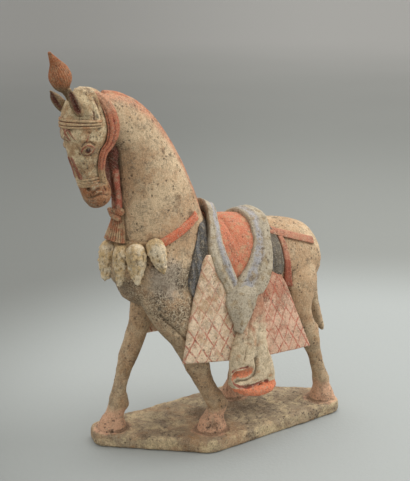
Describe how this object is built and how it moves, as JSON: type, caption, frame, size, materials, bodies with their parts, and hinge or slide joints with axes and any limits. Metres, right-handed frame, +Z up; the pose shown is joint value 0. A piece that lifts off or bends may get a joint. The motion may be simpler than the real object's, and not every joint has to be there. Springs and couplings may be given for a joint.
{
  "type": "horse figure",
  "caption": "Painted earthenware figure of a walking caparisoned horse on its slab base, with bridle, head plume, chest tassels, saddle cloths and flaps",
  "frame": {"origin": "on the underside of the slab base, at the middle of its outline", "axes": "-X is the way the horse faces, -Y is its left side, +Z is up; the slab's underside lies in the plane Z = 0"},
  "size_m": [0.3132, 0.1277, 0.3762],
  "materials": {
    "painted_earthenware": "matte"
  },
  "bodies": {
    "root": {"horse_figure": "painted_earthenware"}
  },
  "joints": []
}
